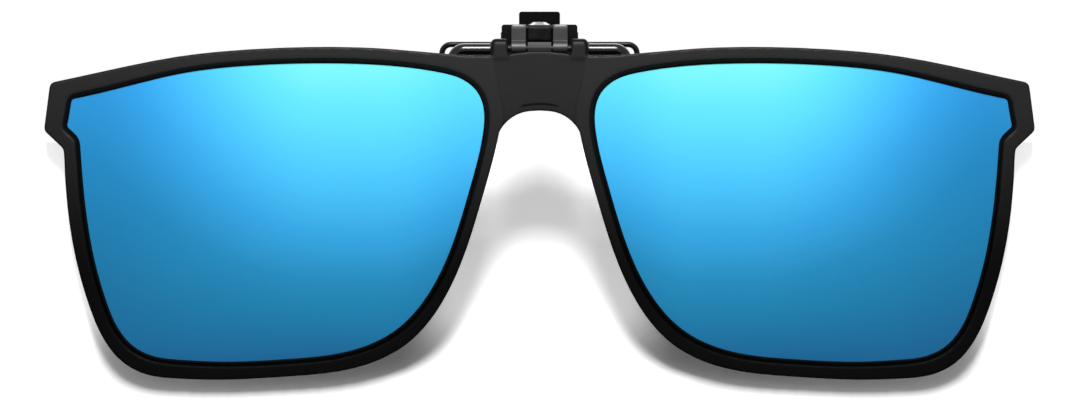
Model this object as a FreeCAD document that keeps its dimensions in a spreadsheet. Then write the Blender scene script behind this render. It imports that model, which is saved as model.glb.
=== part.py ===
import FreeCAD, Part
import math
import os
import re
import Sketcher
from FreeCAD import Placement, Rotation, Vector

# Flip-up sunglass lenses that clip onto a pair of spectacles.
#
# Everything is drawn about the flip hinge: X to the wearer's left, Y from the front of the lenses towards
# the wearer, Z up, with the hinge axis along X through (0, 0, 0). Every sub-part's Placement then carries
# it to the part's own frame, whose origin is the middle of the gap between the clip's jaws.

DIMENSIONS = {
    # Lenses and moulded front.
    "lens_width": 61.2,
    "lens_height": 43.7,
    "lens_spacing": 16.0,
    "lens_drop": 2.1,
    "lens_thickness": 1.2,
    "lens_inset": 0.95,
    "groove_depth": 0.5,
    "groove_clearance": 0.03,
    "rim_width": 2.4,
    "rim_depth": 3.0,
    "rim_bevel": 0.8,
    "endpiece_width": 3.2,
    "endpiece_flare": 0.3,
    "notch_width": 2.7,
    "face_radius": 420.0,
    "bridge_top": 0.41,
    "bridge_dip": 0.69,
    "web_overlap": 7.2,
    "nose_top": 9.06,
    "panel_recess": 0.2,
    "panel_top_half": 7.0,
    "panel_low_half": 5.3,
    "corner_radius": 1.0,
    # Flip hinge.
    "ear_radius": 1.46,
    "ear_inner": 4.63,
    "ear_width": 2.47,
    "ear_chamfer": 0.45,
    "hinge_pin_radius": 0.6,
    "knuckle_radius": 1.2,
    "knuckle_width": 2.1,
    "scoop_clearance": 0.35,
    "running_clearance": 0.05,
    "pin_head_lip": 0.35,
    "pin_head_height": 0.12,
    "cam_flat": 0.95,
    "cam_corner": 0.3,
    "cam_gap": 0.3,
    "cam_half_length": 1.7,
    # Stamped bracket of the clip.
    "bracket_width": 11.1,
    "bracket_front": 1.8,
    "bracket_wall": 0.8,
    "bracket_drop": 2.6,
    "roof_top": 3.55,
    "roof_thickness": 0.6,
    "roof_depth": 2.6,
    "leg_front": -0.1,
    "leg_thickness": 0.8,
    "bend_radius": 0.4,
    # Detent leaf spring and its rivet.
    "leaf_width": 3.4,
    "leaf_thickness": 0.2,
    "leaf_foot": 0.9,
    "leaf_clearance": 0.02,
    "leaf_side_gap": 0.1,
    "leaf_tail": 1.7,
    "leaf_bend": 0.5,
    "leaf_rivet_y": 2.6,
    "leaf_rivet_radius": 0.5,
    "leaf_rivet_head": 1.65,
    "leaf_rivet_crown": 0.45,
    # Front claws.
    "claw_wire_radius": 0.5,
    "claw_height": -0.2,
    "claw_span": 12.5,
    "claw_bend": 1.5,
    "claw_length": 8.0,
    "cover_radius": 1.0,
    "cover_start": 5.9,
    "pad_width": 2.6,
    "pad_height": 5.0,
    "pad_proud": 0.2,
    "cover_end": 0.5,
    "front_keeper_thickness": 0.6,
    "front_keeper_height": 2.6,
    "claw_root": 1.4,
    "rivet_radius": 0.4,
    "rivet_head": 0.75,
    "rivet_head_height": 0.25,
    "rivet_edge_gap": 0.1,
    "front_rivet_x": 2.6,
    # Jaw pivot and return spring.
    "jaw_pin_y": 3.9,
    "jaw_pin_z": 1.6,
    "jaw_pin_radius": 0.5,
    "spring_wire": 0.2,
    "spring_clearance": 0.2,
    "spring_turns": 5,
    "spring_pitch": 0.6,
    # Press lever and thumb grip.
    "lever_thickness": 0.6,
    "lever_side_gap": 0.3,
    "lever_back_gap": 0.3,
    "lever_drop": 3.4,
    "shoulder_top": 3.2,
    "tab_width": 5.0,
    "tab_top": 4.9,
    "flange_thickness": 0.65,
    "flange_radius": 0.95,
    "grip_width": 6.0,
    "grip_top": 5.48,
    "grip_bottom": 3.62,
    "grip_wall": 0.45,
    "grip_edge": 0.4,
    # Rear claws.
    "jaw_opening": 1.6,
    "loop_wire_radius": 0.42,
    "loop_top": 0.68,
    "loop_outer": 14.28,
    "loop_inner": 9.4,
    "loop_bottom": -9.5,
    "loop_return": -2.3,
    "loop_bend": 1.3,
    "loop_root": 1.2,
    "sleeve_radius": 0.8,
    "sleeve_outer_top": -1.6,
    "sleeve_inner_top": -4.0,
    "rear_keeper_thickness": 0.5,
    "rear_rivet_z": -0.8,
    "rear_rivet_x": 2.4,
}

# Stations round the lens opening, from below the temple point, round the bottom and up the nose side, then
# along the top to the temple corner. Each has its share of the width (from the nose side), its share of the
# height (from the top) and how wide the rim is there, as a share of rim_width.
LENS_OUTLINE = [
    (0.9665, 0.32, 1.0), (0.957, 0.468, 1.07), (0.932, 0.673, 1.07), (0.907, 0.793, 1.06),
    (0.875, 0.894, 1.07), (0.836, 0.953, 1.15), (0.791, 0.982, 1.17), (0.728, 0.994, 1.13),
    (0.641, 1.0, 1.08), (0.470, 0.991, 1.04), (0.326, 0.965, 1.06), (0.212, 0.894, 1.06),
    (0.117, 0.734, 0.93), (0.035, 0.422, 0.86), (0.002, 0.223, 0.95), (0.0, 0.180, 1.0),
    (0.015, 0.100, 1.0), (0.055, 0.052, 1.0), (0.102, 0.032, 1.0), (0.212, 0.010, 1.0),
    (0.383, 0.0, 0.985), (0.555, 0.007, 0.975), (0.726, 0.034, 1.04), (0.849, 0.074, 1.18),
    (0.968, 0.1135, 1.24),
]  # fmt: skip
NOSE_STATION = 14
TOP_STATION = 19
TEMPLE_POINT = (1.0, 0.212)
TEMPLE_TOP_RUN = 1.3
TEMPLE_LOW_RUN = 3.0
LENS_CORNERS = (0.9, 0.4, 1.5)

RIM_CORNERS = (1.0, 1.0, 1.0)

# Bridge: shares of the way out to where it meets the rims, and of the way down from its middle.
BRIDGE_CREST = [(0.205, 0.5), (0.339, 1.0), (0.469, 0.93), (0.663, 0.5), (0.83, 0.05)]
NOSE_ARCH = [(0.54, 0.17), (0.8, 0.5), (1.0, 1.0)]
DOME_SHOULDER = (0.6, 0.85)  # shares of the leaf rivet's radius and height

NEAR = 0.001
MOSTLY = 0.9  # a direction that counts as along an axis
PAST = "1"  # how far a hole's tool runs past the plate
BEYOND = 30.0  # how far a tool that cuts the whole front runs past it


doc = FreeCAD.newDocument("FlipLenses")
sheet = doc.addObject("Spreadsheet::Sheet", "Sizes")
for row, (alias, number) in enumerate(DIMENSIONS.items(), start=1):
    sheet.set(f"A{row}", alias)
    sheet.set(f"B{row}", str(number))
    sheet.setAlias(f"B{row}", alias)
doc.recompute()

nodes = []

# Places that follow from the driving dimensions, as sums that both the sheet and value() read.
EAR_OUTER = "ear_inner + ear_width"
CLAW_Y = "bracket_front + bracket_wall + claw_wire_radius"
PAD_BACK = f"{CLAW_Y} + cover_radius + pad_proud"
LOOP_Y = f"{PAD_BACK} + jaw_opening + sleeve_radius"
LEVER_BACK = f"{LOOP_Y} - loop_wire_radius"
LEVER_FRONT = f"{LEVER_BACK} - lever_thickness"
CLAW_END = "claw_height - claw_length"
ROOF_UNDER = "roof_top - roof_thickness"
LEAF_TOP = "roof_top - 0.25*leaf_thickness"
LEG_OUTER = "cam_gap + cam_half_length + knuckle_width"
LEG_INNER = "cam_gap + cam_half_length"
LEVER_HALF = "0.5*bracket_width - bracket_wall - lever_side_gap"
FRONT_RIVET_Z = "claw_height - claw_wire_radius - rivet_head - rivet_edge_gap"
JAW_CENTRE = (f"{PAD_BACK} + 0.5*jaw_opening", f"{CLAW_END} + 0.5*pad_height")


def value(text):
    """The number that a sum of sizes comes to, such as "0.5*lens_spacing + rim_width"."""
    total = 0.0
    sign = 1
    for word in text.split():
        if word in "+-":
            sign = 1 if word == "+" else -1
            continue
        product = 1.0
        for factor in word.split("*"):
            product *= float(sheet.get(factor)) if factor in DIMENSIONS else float(factor)
        total += sign * product
    return total


def less(high, low):
    """The text of one sum less another."""
    swapped = {"+": "-", "-": "+"}
    return f"{high} - " + " ".join(swapped.get(word, word) for word in low.split())


def opposite(text):
    return less("0", text)


def formula(text):
    """The same sum as an expression on the sheet."""
    return re.sub(r"[a-z_]{2,}", lambda found: f"Sizes.{found.group()}", text)


def bind(obj, prop, text):
    obj.setExpression(prop, formula(text))


def add_node(obj, label):
    """Name a finished sub-part and carry it from the hinge to the part's own frame."""
    obj.Label = label
    across, up = (value(text) for text in JAW_CENTRE)
    obj.Placement = Placement(Vector(0, -across, -up), Rotation()).multiply(obj.Placement)
    nodes.append(obj)
    return obj


def mirror_node(source, label):
    """The same sub-part on the other side of the middle."""
    other = doc.addObject("Part::Mirroring", f"Mirror_{label}")
    other.Source = source
    other.Normal = Vector(1, 0, 0)
    other.Label = label
    nodes.append(other)
    return other


def bound_box(name, x, y, z):
    """A box between pairs of sums."""
    block = doc.addObject("Part::Box", name)
    for axis, side, (low, high) in (("x", "Length", x), ("y", "Width", y), ("z", "Height", z)):
        bind(block, f"Placement.Base.{axis}", low)
        bind(block, side, less(high, low))
    return block


TURNS = {"X": Rotation(Vector(0, 1, 0), 90), "Y": Rotation(Vector(1, 0, 0), -90), "Z": Rotation()}


def rod(name, radius, x, y, z):
    """A cylinder along whichever of x, y and z is a pair of sums instead of one."""
    cylinder = doc.addObject("Part::Cylinder", name)
    for axis, place in (("X", x), ("Y", y), ("Z", z)):
        if isinstance(place, tuple):
            cylinder.Placement = Placement(Vector(), TURNS[axis])
            bind(cylinder, "Height", less(place[1], place[0]))
    for axis, place in (("x", x), ("y", y), ("z", z)):
        bind(cylinder, f"Placement.Base.{axis}", place[0] if isinstance(place, tuple) else place)
    bind(cylinder, "Radius", radius)
    return cylinder


def fuse(name, pieces):
    joined = doc.addObject("Part::MultiFuse", name)
    joined.Shapes = pieces
    joined.Refine = True
    return joined


def cut(name, base, tools):
    result = doc.addObject("Part::Cut", name)
    result.Base = base
    result.Tool = fuse(f"{name}_tools", tools) if len(tools) > 1 else tools[0]
    return result


def round_edges(name, base, radius, chosen):
    """Fillet every edge of a solid that the chosen test accepts, by its middle point and direction."""
    doc.recompute()
    edges = []
    for number, edge in enumerate(base.Shape.Edges, start=1):
        middle = edge.valueAt((edge.FirstParameter + edge.LastParameter) / 2)
        if isinstance(edge.Curve, Part.Line) and chosen(middle, edge.Curve.Direction):
            edges.append((number, value(radius), value(radius)))
    rounded = doc.addObject("Part::Fillet", name)
    rounded.Base = base
    rounded.Edges = edges
    return rounded


def make_headed_pin(name, label, radius, half, y, z):
    """A pin along X with a flat head riveted over at each end."""
    pieces = [rod(f"{name}Shank", radius, (opposite(half), half), y, z)]
    for side, tag in ((1, "Right"), (-1, "Left")):
        span = mirrored_span(half, f"{half} + pin_head_height", side)
        pieces.append(rod(f"{name}Head{tag}", f"{radius} + pin_head_lip", span, y, z))
    add_node(fuse(name, pieces), label)


def mirrored_span(low, high, side):
    """A span of x on the right (side 1) or on the left (side -1)."""
    return (low, high) if side == 1 else (opposite(high), opposite(low))


# --- Bent wire and strip -----------------------------------------------------------------------------------

PLANES = {"XZ": ("XZ_Plane", "x", "z"), "YZ": ("YZ_Plane", "y", "z"), "XY": ("XY_Plane", "x", "y")}


def new_body(name):
    return doc.addObject("PartDesign::Body", name)


def new_sketch(body, name, plane, offset):
    """A sketch on one of the body's origin planes, moved along the plane's normal."""
    sketch = body.newObject("Sketcher::SketchObject", name)
    role = PLANES[plane][0]
    origin_plane = next(f for f in body.Origin.OriginFeatures if f.Role == role)
    sketch.AttachmentSupport = [(origin_plane, "")]
    sketch.MapMode = "FlatFace"
    bind(sketch, "AttachmentOffset.Base.z", offset)
    return sketch


def fix_point(sketch, geometry, end, across=None, up=None):
    """Tie a point's two coordinates, or one of them, to sums."""
    for kind, text in (("DistanceX", across), ("DistanceY", up)):
        if text is None:
            continue
        index = sketch.addConstraint(
            Sketcher.Constraint(kind, -1, 1, geometry, end, value(text))
        )
        bind(sketch, f"Constraints[{index}]", text)


def draw_path(sketch, corners, bend):
    """A run of level and upright lines through the corners, with a bend of one radius at each."""
    points = [Vector(value(u), value(v), 0) for u, v in corners]
    radius = value(bend)
    starts = [points[0]]
    lines = []
    arcs = []
    for before, corner, after in zip(points, points[1:], points[2:]):
        back = (before - corner).normalize()
        on = (after - corner).normalize()
        enter, leave = corner + back * radius, corner + on * radius
        middle = corner + (back + on) * radius * (1 - math.sqrt(0.5))
        lines.append(sketch.addGeometry(Part.LineSegment(starts[-1], enter)))
        arcs.append(sketch.addGeometry(Part.Arc(enter, middle, leave)))
        starts.append(leave)
    lines.append(sketch.addGeometry(Part.LineSegment(starts[-1], points[-1])))
    for number, line in enumerate(lines):
        (u0, v0), (u1, v1) = corners[number], corners[number + 1]
        level = v0 == v1
        sketch.addConstraint(Sketcher.Constraint("Horizontal" if level else "Vertical", line))
        fix_point(sketch, line, 1, across=None if level else u0, up=v0 if level else None)
    for number, arc in enumerate(arcs):
        first_end = arc_end_at(sketch, arc, lines[number], 2)
        sketch.addConstraint(Sketcher.Constraint("Tangent", lines[number], 2, arc, first_end))
        sketch.addConstraint(Sketcher.Constraint("Tangent", arc, 3 - first_end, lines[number + 1], 1))
        index = sketch.addConstraint(Sketcher.Constraint("Radius", arc, radius))
        bind(sketch, f"Constraints[{index}]", bend)
    for line, end, (u, v), (u2, v2) in ((lines[0], 1, *corners[:2]), (lines[-1], 2, *corners[:-3:-1])):
        level = v == v2
        fix_point(sketch, line, end, across=u if level else None, up=None if level else v)
    return len(lines) + len(arcs)


def arc_end_at(sketch, arc, line, end):
    """Which end of an arc, 1 or 2, lies on the given end of a line."""
    target = sketch.getPoint(line, end)
    return min((1, 2), key=lambda which: (sketch.getPoint(arc, which) - target).Length)


def pipe(name, plane, offset, corners, bend, section):
    """A body swept along a path of level and upright runs; section draws its profile about the start."""
    body = new_body(name)
    path = new_sketch(body, f"{name}_path", plane, offset)
    count = draw_path(path, corners, bend)
    profile = section(body, f"{name}_section")
    sweep = body.newObject("PartDesign::AdditivePipe", f"{name}_sweep")
    sweep.Profile = profile
    sweep.Spine = (path, [f"Edge{number}" for number in range(1, count + 1)])
    return body


def round_section(plane, offset, centre, radii):
    """Circles of the given radii about one centre: a rod, or a tube."""

    def draw(body, name):
        sketch = new_sketch(body, name, plane, offset)
        for radius in radii:
            middle = Vector(value(centre[0]), value(centre[1]), 0)
            circle = sketch.addGeometry(Part.Circle(middle, Vector(0, 0, 1), value(radius)))
            fix_point(sketch, circle, 3, across=centre[0], up=centre[1])
            index = sketch.addConstraint(Sketcher.Constraint("Radius", circle, value(radius)))
            bind(sketch, f"Constraints[{index}]", radius)
        return sketch

    return draw


def draw_polygon(sketch, corners):
    """A closed outline whose corners are all tied to sums."""
    points = [Vector(value(u), value(v), 0) for u, v in corners]
    lines = [
        sketch.addGeometry(Part.LineSegment(points[n - 1], points[n])) for n in range(len(points))
    ]
    for number, line in enumerate(lines):
        following = lines[(number + 1) % len(lines)]
        sketch.addConstraint(Sketcher.Constraint("Coincident", line, 2, following, 1))
        fix_point(sketch, line, 2, *corners[number])


def strip_section(plane, offset, half_width, middle, thickness):
    def draw(body, name):
        sketch = new_sketch(body, name, plane, offset)
        low, high = f"{middle} - 0.5*{thickness}", f"{middle} + 0.5*{thickness}"
        left = opposite(half_width)
        draw_polygon(sketch, [(left, low), (half_width, low), (half_width, high), (left, high)])
        return sketch

    return draw


# --- Moulded front and lenses ------------------------------------------------------------------------------


def outline_point(shares):
    """A point of the lens opening on the wearer's left, from its shares of the width and height."""
    return Vector(
        value("0.5*lens_spacing") + shares[0] * value("lens_width"),
        0,
        -value("lens_drop") - shares[1] * value("lens_height"),
    )


def outward(direction):
    """The side of the outline that faces away from the lens."""
    return Vector(-direction.z, 0, direction.x)


def smooth(points):
    curve = Part.BSplineCurve()
    curve.interpolate(points)
    return curve


def rim_growth():
    """How far the rim reaches past the opening at each station."""
    return [share * value("rim_width") for _, _, share in LENS_OUTLINE]


def even_growth(grow):
    return [grow] * len(LENS_OUTLINE)


def grown_stations(growth):
    """The outline's points, each moved out by its own amount."""
    points = [outline_point(shares) for shares in LENS_OUTLINE]
    curve = smooth(points)
    return [p + outward(curve.tangent(curve.parameter(p))[0]) * grow for p, grow in zip(points, growth)]


def offset_corner(before, corner, after, grow_in, grow_out):
    """Where two straight runs meet once each has moved out by its own amount."""
    first = outward((corner - before).normalize())
    second = outward((after - corner).normalize())
    spread = first.x * second.z - first.z * second.x
    across = (grow_in * second.z - grow_out * first.z) / spread
    up = (first.x * grow_out - second.x * grow_in) / spread
    return corner + Vector(across, 0, up)


def rounded_run(points, radii):
    """Straight edges through the points with an arc at each inner one."""
    edges = []
    last = points[0]
    for before, corner, after, radius in zip(points, points[1:], points[2:], radii):
        back = (before - corner).normalize()
        on = (after - corner).normalize()
        angle = back.getAngle(on)
        reach = radius / math.tan(angle / 2)
        middle = corner + (back + on).normalize() * (radius / math.sin(angle / 2) - radius)
        edges.append(Part.LineSegment(last, corner + back * reach).toShape())
        edges.append(Part.Arc(corner + back * reach, middle, corner + on * reach).toShape())
        last = corner + on * reach
    edges.append(Part.LineSegment(last, points[-1]).toShape())
    return edges


def eye_prism(growth, temple, notch, flare, radii):
    """The lens outline moved out by its growth at each station, and beside and below the temple by its own
    amounts, through the whole depth; flare pushes the temple's upper corner further along the top edge."""
    plain = smooth([outline_point(shares) for shares in LENS_OUTLINE])
    curve = smooth(grown_stations(growth))
    top, low = plain.EndPoint, plain.StartPoint
    along_top = plain.tangent(plain.LastParameter)[0]
    corners = [
        top,
        top + along_top * TEMPLE_TOP_RUN,
        outline_point(TEMPLE_POINT),
        low - plain.tangent(plain.FirstParameter)[0] * TEMPLE_LOW_RUN,
        low,
    ]
    edge_growth = [growth[-1], temple, notch, growth[0]]
    moved = [
        offset_corner(*corners[n - 1 : n + 2], *edge_growth[n - 1 : n + 1]) for n in range(1, 4)
    ]
    moved[0] += along_top * flare
    edges = rounded_run([curve.EndPoint, *moved, curve.StartPoint], radii)
    return through(Part.Wire([curve.toShape(), *edges]))


def through(wire):
    face = Part.Face(wire)
    face.translate(Vector(0, -BEYOND, 0))
    return face.extrude(Vector(0, 2 * BEYOND, 0))


def curved_slab(front, thickness):
    """The space between two upright cylinders that share an axis behind the face, front at x = 0."""
    radius = value("face_radius")
    foot = Vector(0, front + radius, -3 * BEYOND)
    outer = Part.makeCylinder(radius, 4 * BEYOND, foot)
    return outer.cut(Part.makeCylinder(radius - thickness, 4 * BEYOND, foot))


def both_ways(middle, left):
    """A smooth curve through the points on the wearer's left, a middle height and their mirror images."""
    right = [Vector(-p.x, 0, p.z) for p in reversed(left)]
    return smooth([*right, Vector(0, 0, middle), *left])


def bridge_prism():
    """The web between the rims: its top edge dips beside the ears and its underside is the nose arch."""
    stations = grown_stations(rim_growth())
    nose, top = stations[NOSE_STATION], stations[TOP_STATION]
    middle, dip = -value("bridge_top"), value("bridge_dip")
    crest = both_ways(
        middle, [*(Vector(across * top.x, 0, middle - down * dip) for across, down in BRIDGE_CREST), top]
    )
    apex = -value("nose_top")
    arch = both_ways(
        apex, [Vector(across * nose.x, 0, apex + down * (nose.z - apex)) for across, down in NOSE_ARCH]
    )
    sides = []
    inside = value("web_overlap")
    for side in (1, -1):
        run = [
            Vector(side * top.x, 0, top.z),
            Vector(side * top.x, 0, top.z - inside),
            Vector(side * (nose.x + inside), 0, nose.z),
            Vector(side * nose.x, 0, nose.z),
        ]
        sides += [Part.LineSegment(p, q).toShape() for p, q in zip(run, run[1:])]
    return through(Part.Wire(Part.__sortEdges__([crest.toShape(), arch.toShape(), *sides])))


def bridge_panel():
    """The shallow recess across the front of the bridge, narrower towards the nose."""
    top, low, recess = (value(name) for name in ("panel_top_half", "panel_low_half", "panel_recess"))
    crest, nose = value("ear_radius"), -value("nose_top")
    corners = [
        Vector(0, 0, crest), Vector(top, 0, crest), Vector(top, 0, -value("bridge_top + bridge_dip")),
        Vector(low, 0, nose), Vector(low, 0, nose - low), Vector(0, 0, nose - low), Vector(0, 0, crest),
    ]  # fmt: skip
    prism = through(Part.makePolygon(corners))
    return prism.common(curved_slab(-value("rim_depth"), recess))


def ear():
    """The left hinge ear: flush with the front, rounded about the pin behind."""
    radius, front = value("ear_radius"), -value("rim_depth")
    soft = value("corner_radius")
    slope = soft * (1 - math.sqrt(0.5))
    edges = [
        Part.LineSegment(Vector(0, front, -radius), Vector(0, front, radius - soft)).toShape(),
        Part.Arc(
            Vector(0, front, radius - soft),
            Vector(0, front + slope, radius - slope),
            Vector(0, front + soft, radius),
        ).toShape(),
        Part.LineSegment(Vector(0, front + soft, radius), Vector(0, 0, radius)).toShape(),
        Part.Arc(Vector(0, 0, radius), Vector(0, radius, 0), Vector(0, 0, -radius)).toShape(),
        Part.LineSegment(Vector(0, 0, -radius), Vector(0, front, -radius)).toShape(),
    ]
    block = Part.Face(Part.Wire(edges)).extrude(Vector(value("ear_width"), 0, 0))
    block.translate(Vector(value("ear_inner"), 0, 0))
    outer = value(EAR_OUTER)
    rim = [
        edge
        for edge in block.Edges
        if all(abs(v.X - outer) < NEAR for v in edge.Vertexes) and edge.CenterOfMass.z > 0
    ]
    return block.makeChamfer(value("ear_chamfer"), [e for e in rim if e.BoundBox.ZMin > -NEAR])


def centred_cylinder(radius, half_length):
    return Part.makeCylinder(radius, 2 * half_length, Vector(-half_length, 0, 0), Vector(1, 0, 0))


def front_frame():
    """One half of the front, from the middle of the bridge outward, joined to its mirror image."""
    slab = curved_slab(-value("rim_depth"), value("rim_depth"))
    beyond_middle = Part.makeBox(4 * BEYOND, 4 * BEYOND, 4 * BEYOND, Vector(0, -2 * BEYOND, -3 * BEYOND))
    edges = (value(name) for name in ("endpiece_width", "notch_width", "endpiece_flare"))
    rim = eye_prism(rim_growth(), *edges, RIM_CORNERS).common(slab)
    web = bridge_prism().common(beyond_middle).common(slab)
    scoop = centred_cylinder(value("knuckle_radius + scoop_clearance"), value("ear_inner"))
    bore = centred_cylinder(value("hinge_pin_radius"), value(EAR_OUTER))
    opening = eye_prism(even_growth(0), 0, 0, 0, LENS_CORNERS)
    half = rim.fuse(web).cut([bridge_panel(), opening]).fuse(ear()).cut([scoop, bore]).Solids[0]
    half = bevel_opening(half, opening).cut(lens_blank(value("groove_clearance")))
    return half.fuse(half.mirror(Vector(), Vector(1, 0, 0))).Solids[0]


def bevel_opening(half, opening):
    """Slope the front of the rim down towards its lens."""
    radius = value("face_radius")
    centre = radius - value("rim_depth")
    chosen = []
    for edge in half.Edges:
        middle = edge.valueAt((edge.FirstParameter + edge.LastParameter) / 2)
        points = [edge.valueAt(edge.FirstParameter), middle, edge.valueAt(edge.LastParameter)]
        on_front = all(abs(math.hypot(p.x, p.y - centre) - radius) < NEAR for p in points)
        if on_front and opening.isInside(middle, NEAR, True):
            chosen.append(edge)
    return half.makeChamfer(value("rim_bevel"), chosen)


def lens_blank(clearance):
    """The left lens, or with a clearance the groove that it sits in."""
    grow = value("groove_depth") + clearance
    front = value("lens_inset - rim_depth") - clearance
    slab = curved_slab(front, value("lens_thickness") + 2 * clearance)
    return eye_prism(even_growth(grow), grow, grow, 0, LENS_CORNERS).common(slab)


def part_feature(label, shape):
    feature = doc.addObject("Part::Feature", f"Shape_{label}")
    feature.Shape = shape
    return add_node(feature, label)


def make_front():
    part_feature("front_frame", front_frame())
    left = part_feature("lens_left", lens_blank(0.0).Solids[0])
    mirror_node(left, "lens_right")


def make_hinge():
    make_headed_pin("HingePin", "hinge_pin", "hinge_pin_radius", EAR_OUTER, "0", "0")
    body = new_body("DetentCam")
    section = new_sketch(body, "DetentCam_section", "YZ", "0 - cam_half_length")
    back = "0 - cam_flat"
    draw_polygon(section, [(back, back), ("cam_flat", back), ("cam_flat", "cam_flat"), (back, "cam_flat")])
    bore = section.addGeometry(Part.Circle(Vector(), Vector(0, 0, 1), value("hinge_pin_radius")))
    section.addConstraint(Sketcher.Constraint("Coincident", bore, 3, -1, 1))
    index = section.addConstraint(Sketcher.Constraint("Radius", bore, value("hinge_pin_radius")))
    bind(section, f"Constraints[{index}]", "hinge_pin_radius")
    pad = body.newObject("PartDesign::Pad", "DetentCam_pad")
    pad.Profile = section
    bind(pad, "Length", "2*cam_half_length")
    doc.recompute()
    corners = body.newObject("PartDesign::Chamfer", "DetentCam_corners")
    long_edges = [
        f"Edge{number}"
        for number, edge in enumerate(pad.Shape.Edges, start=1)
        if isinstance(edge.Curve, Part.Line) and abs(edge.Curve.Direction.x) > MOSTLY
        and math.hypot(edge.CenterOfMass.y, edge.CenterOfMass.z) > value("cam_flat")
    ]
    corners.Base = (pad, long_edges)
    bind(corners, "Size", "cam_corner")
    add_node(body, "detent_cam")


# --- Clip bracket ------------------------------------------------------------------------------------------


def make_bracket():
    half = "0.5*bracket_width"
    wall_back = "bracket_front + bracket_wall"
    full = (f"0 - {half}", half)
    height = ("0 - bracket_drop", "roof_top")
    housing = [
        bound_box("BracketFront", full, ("bracket_front", wall_back), height),
        bound_box("BracketRoof", full, ("bracket_front", "bracket_front + roof_depth"), (ROOF_UNDER, "roof_top")),
        bound_box(
            "BracketTongue", (opposite(LEG_OUTER), LEG_OUTER), ("leg_front", wall_back), (ROOF_UNDER, "roof_top")
        ),
    ]
    holes = [
        bound_box(
            "LeafSeat",
            ("0 - 0.5*leaf_width - leaf_side_gap", "0.5*leaf_width + leaf_side_gap"),
            (f"leg_front - {PAST}", f"bracket_front + roof_depth + {PAST}"),
            (f"{LEAF_TOP} - leaf_thickness", f"roof_top + {PAST}"),
        ),
        bound_box(
            "LeafSlot",
            (opposite(LEG_INNER), LEG_INNER),
            (f"leg_front - {PAST}", "leg_front + leg_thickness"),
            (f"{ROOF_UNDER} - {PAST}", f"roof_top + {PAST}"),
        ),
        rod("LeafRivetHole", "leaf_rivet_radius", "0", "leaf_rivet_y", (ROOF_UNDER, f"roof_top + {PAST}")),
        rod("HingeBore", "hinge_pin_radius + running_clearance", (f"{opposite(LEG_OUTER)} - {PAST}", f"{LEG_OUTER} + {PAST}"), "0", "0"),
        rod("JawPinBore", "jaw_pin_radius", (f"0 - {half} - {PAST}", f"{half} + {PAST}"), "jaw_pin_y", "jaw_pin_z"),
        rod("ClawBore", "claw_wire_radius", (f"0 - {half} - {PAST}", f"{half} + {PAST}"), CLAW_Y, "claw_height"),
    ]
    for side in (1, -1):
        wall = mirrored_span(f"{half} - bracket_wall", half, side)
        leg = mirrored_span(LEG_INNER, LEG_OUTER, side)
        tag = "Right" if side == 1 else "Left"
        housing += [
            bound_box(f"BracketSide{tag}", wall, ("bracket_front", f"{LEVER_FRONT} - lever_back_gap"), height),
            bound_box(
                f"BracketLeg{tag}", leg, ("leg_front", "leg_front + leg_thickness"), ("0", "roof_top")
            ),
            rod(f"BracketKnuckle{tag}", "knuckle_radius", leg, "0", "0"),
        ]
        holes.append(
            rod(
                f"ClawRivetHole{tag}", "rivet_radius", f"{side}*front_rivet_x",
                (f"bracket_front - {PAST}", f"{wall_back} + {PAST}"), FRONT_RIVET_Z,
            )
        )
    bracket = cut("Bracket", fuse("BracketHousing", housing), holes)
    edge_x = value(half)
    top = value("roof_top")
    rounded = round_edges(
        "BracketRounded",
        bracket,
        "bend_radius",
        lambda p, d: abs(d.y) > MOSTLY and abs(abs(p.x) - edge_x) < NEAR and abs(p.z - top) < NEAR,
    )
    add_node(rounded, "clip_bracket")


def revolved(name, label, axis_y, profile):
    """A piece turned about an upright axis at a distance behind the hinge; profile is radius and height."""
    body = new_body(name)
    sketch = new_sketch(body, f"{name}_profile", "XZ", opposite(axis_y))
    draw_polygon(sketch, profile)
    turned = body.newObject("PartDesign::Revolution", f"{name}_turned")
    turned.Profile = sketch
    turned.ReferenceAxis = (sketch, ["V_Axis"])
    turned.Angle = 360
    return add_node(body, label)


def make_detent_leaf():
    half = "0.5*leaf_width"
    middle = f"{LEAF_TOP} - 0.5*leaf_thickness"
    tail = "leaf_rivet_y + leaf_tail"
    front = "leg_front + 0.5*leaf_thickness"
    foot = "cam_flat + leaf_clearance + 0.5*leaf_thickness"
    path = [(tail, middle), (front, middle), (front, foot), ("leg_front + leaf_foot", foot)]
    strip = strip_section("XZ", opposite(tail), half, middle, "leaf_thickness")
    leaf = pipe("DetentLeaf", "YZ", "0", path, "leaf_bend", strip)
    hole = rod("LeafHole", "leaf_rivet_radius", "0", "leaf_rivet_y", (f"{middle} - {PAST}", f"{middle} + {PAST}"))
    add_node(cut("DetentLeafPlate", leaf, [hole]), "detent_leaf")


def make_leaf_rivet():
    """A low dome over the leaf, and a shank through leaf and roof that ends flush under the roof."""
    out, up = DOME_SHOULDER
    revolved(
        "LeafRivet",
        "leaf_rivet",
        "leaf_rivet_y",
        [
            ("0", f"{LEAF_TOP} + leaf_rivet_crown"),
            (f"{out}*leaf_rivet_head", f"{LEAF_TOP} + {up}*leaf_rivet_crown"),
            ("leaf_rivet_head", LEAF_TOP),
            ("leaf_rivet_radius", LEAF_TOP),
            ("leaf_rivet_radius", ROOF_UNDER),
            ("0", ROOF_UNDER),
        ],
    )


def rivet_pair(name, label, at_x, at_z, low, high):
    """Two rivets through everything between low and high, each with a head at both ends."""
    pieces = []
    for side, tag in ((1, "Right"), (-1, "Left")):
        x = f"{side}*{at_x}"
        pieces += [
            rod(f"{name}Shank{tag}", "rivet_radius", x, (low, high), at_z),
            rod(f"{name}Head{tag}", "rivet_head", x, (f"{low} - rivet_head_height", low), at_z),
            rod(f"{name}Tail{tag}", "rivet_head", x, (high, f"{high} + rivet_head_height"), at_z),
        ]
    add_node(fuse(name, pieces), label)


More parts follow.
